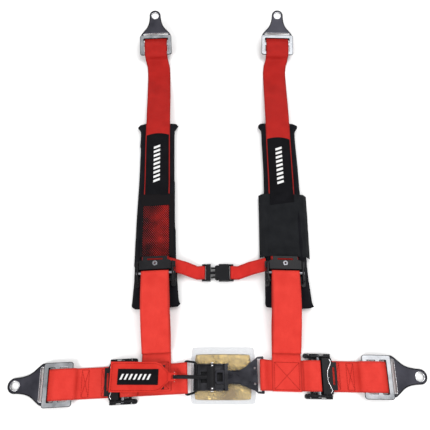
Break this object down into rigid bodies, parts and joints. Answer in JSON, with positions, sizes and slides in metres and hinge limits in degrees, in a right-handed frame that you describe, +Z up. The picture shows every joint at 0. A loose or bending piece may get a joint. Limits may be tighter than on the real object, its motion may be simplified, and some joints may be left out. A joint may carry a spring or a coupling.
{
  "type": "racing harness",
  "caption": "Racing seat harness laid flat: padded shoulder straps with lever adjusters, chest clip, lap belts with adjusters, anchor plates, and a latch and link buckle with release tag",
  "frame": {"origin": "middle of the laid-out harness's footprint, on the surface it lies on", "axes": "+X along the lap belt towards the link side, +Y up the shoulder straps towards their anchor plates, +Z up from the surface"},
  "size_m": [0.7124, 0.8416, 0.0387],
  "materials": {
    "webbing": "woven polyester, satin",
    "webbing_deep": "woven polyester, satin",
    "plate_steel": "black oxide, satin",
    "slide_steel": "stamped and plated",
    "adjuster_steel": "black, satin",
    "pin_steel": "plated",
    "pad_cloth": "knitted cover over foam",
    "sleeve_cloth": "mesh and plain cloth",
    "label_cloth": "woven label",
    "clip_plastic": "moulded",
    "hook_tape": "hook and loop tape",
    "pad_foil": "metallised cloth",
    "clear_film": "clear vinyl"
  },
  "bodies": {
    "harness": {"slide_shoulder_left": "slide_steel", "slide_shoulder_right": "slide_steel", "slide_lap_left": "slide_steel", "slide_lap_right": "slide_steel", "strap_shoulder_left": "webbing_deep", "strap_shoulder_right": "webbing_deep", "strap_lap_left": "webbing", "strap_lap_right": "webbing", "tail_shoulder_left": "webbing", "tail_shoulder_right": "webbing", "belt_lap_left": "webbing", "belt_lap_right": "webbing", "frame_shoulder_left": "adjuster_steel", "frame_shoulder_right": "adjuster_steel", "frame_lap_left": "adjuster_steel", "frame_lap_right": "adjuster_steel", "crossbar_shoulder_left": "pin_steel", "crossbar_shoulder_right": "pin_steel", "crossbar_lap_left": "pin_steel", "crossbar_lap_right": "pin_steel", "pad_left": "pad_cloth", "pad_right": "pad_cloth", "sleeve_left": "sleeve_cloth", "sleeve_right": "sleeve_cloth", "label_left": "label_cloth", "label_right": "label_cloth", "chest_strap_left": "webbing", "chest_strap_right": "webbing", "chest_plug": "clip_plastic", "chest_socket": "clip_plastic", "latch_base": "plate_steel", "latch_loop": "plate_steel", "latch_pin": "pin_steel", "latch_link": "plate_steel", "buckle_pad": "pad_foil", "buckle_sleeve": "clear_film"},
    "anchor_shoulder_left": {"plate_shoulder_left": "plate_steel"},
    "cam_shoulder_left": {"lever_shoulder_left": "adjuster_steel", "spring_shoulder_left": "pin_steel", "grommet_shoulder_left": "pin_steel"},
    "anchor_shoulder_right": {"plate_shoulder_right": "plate_steel"},
    "cam_shoulder_right": {"lever_shoulder_right": "adjuster_steel", "spring_shoulder_right": "pin_steel", "grommet_shoulder_right": "pin_steel"},
    "anchor_lap_left": {"plate_lap_left": "plate_steel"},
    "cam_lap_left": {"lever_lap_left": "adjuster_steel", "spring_lap_left": "pin_steel"},
    "anchor_lap_right": {"plate_lap_right": "plate_steel"},
    "cam_lap_right": {"lever_lap_right": "adjuster_steel", "spring_lap_right": "pin_steel"},
    "latch_arm": {"latch_lever": "adjuster_steel"},
    "tag": {"release_tag": "webbing", "tag_label": "label_cloth", "tag_pin": "pin_steel", "tag_patch": "hook_tape"},
    "prong_front": {"chest_prong_front": "clip_plastic"},
    "prong_back": {"chest_prong_back": "clip_plastic"}
  },
  "joints": [
    {"name": "hinge_shoulder_left", "type": "hinge", "parent": "harness", "child": "anchor_shoulder_left", "pos_m": [-0.13997, 0.35534, 0.0174], "axis": [0.9988, 0.0489, 0], "range_deg": [-80, 20]},
    {"name": "release_shoulder_left", "type": "hinge", "parent": "harness", "child": "cam_shoulder_left", "pos_m": [-0.11359, -0.18401, 0.0278], "axis": [0.9988, 0.0489, 0], "range_deg": [0, 28], "stiffness_Nm_per_rad": 0.06, "springref_deg": -5.73},
    {"name": "hinge_shoulder_right", "type": "hinge", "parent": "harness", "child": "anchor_shoulder_right", "pos_m": [0.13645, 0.35581, 0.0174], "axis": [0.9997, -0.0262, 0], "range_deg": [-80, 20]},
    {"name": "release_shoulder_right", "type": "hinge", "parent": "harness", "child": "cam_shoulder_right", "pos_m": [0.12231, -0.184, 0.0278], "axis": [0.9997, -0.0262, 0], "range_deg": [0, 28], "stiffness_Nm_per_rad": 0.06, "springref_deg": -5.73},
    {"name": "hinge_lap_left", "type": "hinge", "parent": "harness", "child": "anchor_lap_left", "pos_m": [-0.28794, -0.38298, 0.005], "axis": [-0.0506, 0.9987, 0], "range_deg": [-80, 27]},
    {"name": "release_lap_left", "type": "hinge", "parent": "harness", "child": "cam_lap_left", "pos_m": [-0.17198, -0.37911, 0.0099], "axis": [-0.0506, 0.9987, 0], "range_deg": [0, 28], "stiffness_Nm_per_rad": 0.06, "springref_deg": -5.73},
    {"name": "hinge_lap_right", "type": "hinge", "parent": "harness", "child": "anchor_lap_right", "pos_m": [0.28852, -0.37007, 0.005], "axis": [-0.0175, -0.9998, 0], "range_deg": [-80, 27]},
    {"name": "release_lap_right", "type": "hinge", "parent": "harness", "child": "cam_lap_right", "pos_m": [0.182, -0.37021, 0.0099], "axis": [-0.0175, -0.9998, 0], "range_deg": [0, 28], "stiffness_Nm_per_rad": 0.06, "springref_deg": -5.73},
    {"name": "latch_turn", "type": "hinge", "parent": "harness", "child": "latch_arm", "pos_m": [-0.01, -0.372, 0.017], "axis": [0, 1, 0], "range_deg": [0, 95]},
    {"name": "tag_turn", "type": "hinge", "parent": "latch_arm", "child": "tag", "pos_m": [-0.073, -0.372, 0.017], "axis": [0, 1, 0], "range_deg": [0, 90]},
    {"name": "squeeze_front", "type": "hinge", "parent": "harness", "child": "prong_front", "pos_m": [-0.0126, -0.1988, 0.006], "axis": [0, 0, 1], "range_deg": [0, 5], "stiffness_Nm_per_rad": 0.3},
    {"name": "squeeze_back", "type": "hinge", "parent": "harness", "child": "prong_back", "pos_m": [-0.0126, -0.1812, 0.006], "axis": [0, 0, -1], "range_deg": [0, 5], "stiffness_Nm_per_rad": 0.3}
  ]
}
